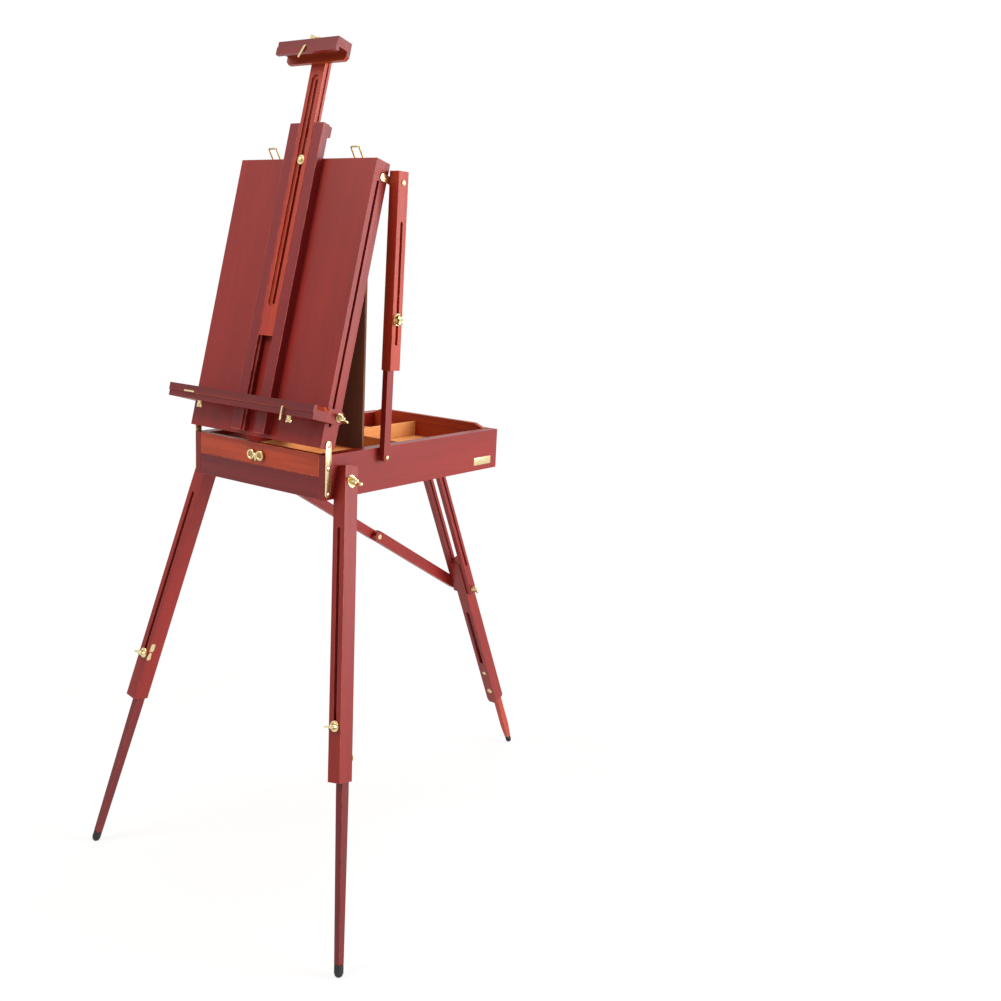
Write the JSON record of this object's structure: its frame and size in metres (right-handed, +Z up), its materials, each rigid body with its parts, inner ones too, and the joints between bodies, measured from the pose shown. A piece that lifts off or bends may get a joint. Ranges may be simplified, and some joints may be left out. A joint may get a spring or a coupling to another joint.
{
  "type": "sketch box easel",
  "caption": "Folding wooden easel with a paint box and drawer, a tilting lid with a sliding mast and a canvas ledge, and three telescoping legs.",
  "frame": {"origin": "on the floor under the middle of the object's bounding box", "axes": "+Z up, -Y towards the painter, +X to the painter's right"},
  "size_m": [0.725, 1.0266, 1.6267],
  "materials": {
    "wood": "satin",
    "warm_wood": "satin",
    "tan_wood": "satin",
    "brown_wood": "satin",
    "dark_wood": "satin",
    "brass": "polished",
    "rubber": "matte"
  },
  "bodies": {
    "box": {"box_sides": "wood", "box_front_rail": "dark_wood", "box_rear_wall": "wood", "box_mid_panel": "tan_wood", "box_side_brass": "brass", "box_rear_brass": "brass", "underside_blocks": "wood", "underside_pins": "brass"},
    "handle": {"handle": "dark_wood"},
    "drawer": {"drawer_front": "warm_wood", "drawer_sides": "wood", "drawer_back": "warm_wood", "drawer_bottom": "tan_wood", "drawer_dividers": "tan_wood"},
    "drawer_catch": {"drawer_catch": "brass"},
    "palette": {"palette": "brown_wood"},
    "lid": {"lid_panel": "wood", "lid_sides": "wood", "lid_end_rails": "warm_wood", "mast_rails": "wood", "lid_brass": "brass"},
    "mast": {"mast_slider": "wood", "mast_head": "wood", "head_screw": "brass"},
    "head_keeper": {"head_keeper": "brass"},
    "ledge": {"ledge": "wood", "ledge_ends": "wood", "ledge_brass": "brass"},
    "rear_rails": {"rear_rails": "wood", "rear_clamp_screw": "brass"},
    "rear_block": {"rear_block": "wood"},
    "rear_extension": {"rear_extension": "wood", "rear_foot": "rubber"},
    "brace_upper": {"brace_upper": "wood", "brace_screw": "brass"},
    "brace_lower": {"brace_lower": "wood"},
    "bail_left": {"bail_left": "brass"},
    "ledge_keeper_left": {"ledge_keeper_left": "brass"},
    "arm_rod_left": {"arm_rod_left": "wood", "arm_nut_left": "brass"},
    "arm_channel_left": {"arm_channel_left": "wood", "arm_screw_left": "brass"},
    "leg_fold_left": {"leg_washer_left": "dark_wood"},
    "leg_left": {"leg_left": "wood", "leg_brass_left": "brass"},
    "leg_extension_left": {"leg_extension_left": "wood", "leg_nut_left": "brass", "foot_left": "rubber"},
    "bail_right": {"bail_right": "brass"},
    "ledge_keeper_right": {"ledge_keeper_right": "brass"},
    "arm_rod_right": {"arm_rod_right": "wood", "arm_nut_right": "brass"},
    "arm_channel_right": {"arm_channel_right": "wood", "arm_screw_right": "brass"},
    "leg_fold_right": {"leg_washer_right": "dark_wood"},
    "leg_right": {"leg_right": "wood", "leg_brass_right": "brass"},
    "leg_extension_right": {"leg_extension_right": "wood", "leg_nut_right": "brass", "foot_right": "rubber"}
  },
  "joints": [
    {"name": "lid_tilt", "type": "hinge", "parent": "box", "child": "lid", "pos_m": [0, -0.37096, 0.90761], "axis": [-1, 0, 0], "range_deg": [-6, 75.6]},
    {"name": "mast_slide", "type": "slide", "parent": "lid", "child": "mast", "axis": [0, -0.2487, -0.9686], "range_m": [-0.265, 0.145]},
    {"name": "ledge_slide", "type": "slide", "parent": "lid", "child": "ledge", "axis": [0, -0.2487, -0.9686], "range_m": [-0.4, 0.004]},
    {"name": "drawer_slide", "type": "slide", "parent": "box", "child": "drawer", "axis": [0, 1, 0], "range_m": [-0.3, 0]},
    {"name": "drawer_catch_turn", "type": "hinge", "parent": "drawer", "child": "drawer_catch", "pos_m": [0, -0.37896, 0.86696], "axis": [0, -1, 0], "range_deg": [0, 90]},
    {"name": "handle_swing", "type": "hinge", "parent": "box", "child": "handle", "pos_m": [0, 0.15104, 0.87131], "axis": [1, 0, 0], "range_deg": [0, 110]},
    {"name": "palette_fold", "type": "hinge", "parent": "box", "child": "palette", "pos_m": [0, -0.25246, 0.88361], "axis": [-1, 0, 0], "range_deg": [-7.19, 90.05]},
    {"name": "head_keeper_turn", "type": "hinge", "parent": "mast", "child": "head_keeper", "pos_m": [0, -0.2685, 1.60463], "axis": [0, 0.9686, -0.2487], "range_deg": [-180, 180]},
    {"name": "rear_leg_fold", "type": "hinge", "parent": "box", "child": "rear_rails", "pos_m": [0, 0.11824, 0.82531], "axis": [-1, 0, 0], "range_deg": [0, 114.87]},
    {"name": "rear_block_slide", "type": "slide", "parent": "rear_rails", "child": "rear_block", "axis": [0, -0.4206, 0.9073], "range_m": [0, 0.2971]},
    {"name": "rear_extension_slide", "type": "slide", "parent": "rear_block", "child": "rear_extension", "axis": [0, -0.4206, 0.9073], "range_m": [0, 0.1401]},
    {"name": "brace_upper_swing", "type": "hinge", "parent": "box", "child": "brace_upper", "pos_m": [0, -0.31096, 0.82131], "axis": [1, 0, 0], "range_deg": [0, 30.31]},
    {"name": "brace_lower_swing", "type": "hinge", "parent": "brace_upper", "child": "brace_lower", "pos_m": [0, 0.00335, 0.63771], "axis": [-1, 0, 0], "range_deg": [0, 180.02]},
    {"name": "bail_left_swing", "type": "hinge", "parent": "lid", "child": "bail_left", "pos_m": [-0.107, -0.23186, 1.40515], "axis": [-1, 0, 0], "range_deg": [0, 135]},
    {"name": "ledge_keeper_left_turn", "type": "hinge", "parent": "ledge", "child": "ledge_keeper_left", "pos_m": [-0.12, -0.42995, 0.97582], "axis": [0, 0.9686, -0.2487], "range_deg": [-180, 180]},
    {"name": "arm_left_swing", "type": "hinge", "parent": "box", "child": "arm_rod_left", "pos_m": [-0.1837, -0.22896, 0.87131], "axis": [-1, 0, 0], "range_deg": [-7.06, 88.36]},
    {"name": "arm_left_slide", "type": "slide", "parent": "arm_rod_left", "child": "arm_channel_left", "axis": [0, -0.0227, -0.9997], "range_m": [-0.01248, 0.15496]},
    {"name": "leg_left_fold", "type": "hinge", "parent": "box", "child": "leg_fold_left", "pos_m": [-0.1758, -0.33296, 0.83681], "axis": [1, 0, 0], "range_deg": [0, 102.2]},
    {"name": "leg_left_splay", "type": "hinge", "parent": "leg_fold_left", "child": "leg_left", "pos_m": [-0.1758, -0.3393, 0.80749], "axis": [0, -0.9774, 0.2113], "range_deg": [0, 11.36]},
    {"name": "leg_left_extend", "type": "slide", "parent": "leg_left", "child": "leg_extension_left", "axis": [0.1968, 0.2072, 0.9583], "range_m": [0, 0.315]},
    {"name": "bail_right_swing", "type": "hinge", "parent": "lid", "child": "bail_right", "pos_m": [0.107, -0.23186, 1.40515], "axis": [-1, 0, 0], "range_deg": [0, 135]},
    {"name": "ledge_keeper_right_turn", "type": "hinge", "parent": "ledge", "child": "ledge_keeper_right", "pos_m": [0.12, -0.42995, 0.97582], "axis": [0, 0.9686, -0.2487], "range_deg": [-180, 180]},
    {"name": "arm_right_swing", "type": "hinge", "parent": "box", "child": "arm_rod_right", "pos_m": [0.1837, -0.22896, 0.87131], "axis": [-1, 0, 0], "range_deg": [-7.06, 88.36]},
    {"name": "arm_right_slide", "type": "slide", "parent": "arm_rod_right", "child": "arm_channel_right", "axis": [0, -0.0227, -0.9997], "range_m": [-0.01248, 0.15496]},
    {"name": "leg_right_fold", "type": "hinge", "parent": "box", "child": "leg_fold_right", "pos_m": [0.1758, -0.33296, 0.83681], "axis": [1, 0, 0], "range_deg": [0, 102.2]},
    {"name": "leg_right_splay", "type": "hinge", "parent": "leg_fold_right", "child": "leg_right", "pos_m": [0.1758, -0.3393, 0.80749], "axis": [0, 0.9774, -0.2113], "range_deg": [0, 11.36]},
    {"name": "leg_right_extend", "type": "slide", "parent": "leg_right", "child": "leg_extension_right", "axis": [-0.1968, 0.2072, 0.9583], "range_m": [0, 0.315]}
  ],
  "couplings": [
    {"joint": "palette_fold", "follows": "lid_tilt", "ratio": 1.1905},
    {"joint": "rear_block_slide", "follows": "rear_leg_fold", "m_per_rad": 0.14814},
    {"joint": "rear_extension_slide", "follows": "rear_leg_fold", "m_per_rad": 0.06983},
    {"joint": "brace_upper_swing", "follows": "rear_leg_fold", "ratio": 0.2637},
    {"joint": "brace_lower_swing", "follows": "rear_leg_fold", "ratio": 1.567},
    {"joint": "arm_left_swing", "follows": "lid_tilt", "ratio": 1.1681},
    {"joint": "arm_left_slide", "follows": "lid_tilt", "m_per_rad": 0.11729},
    {"joint": "leg_left_splay", "follows": "leg_left_fold", "ratio": 0.11106},
    {"joint": "arm_right_swing", "follows": "lid_tilt", "ratio": 1.1681},
    {"joint": "arm_right_slide", "follows": "lid_tilt", "m_per_rad": 0.11729},
    {"joint": "leg_right_splay", "follows": "leg_right_fold", "ratio": 0.11106}
  ]
}
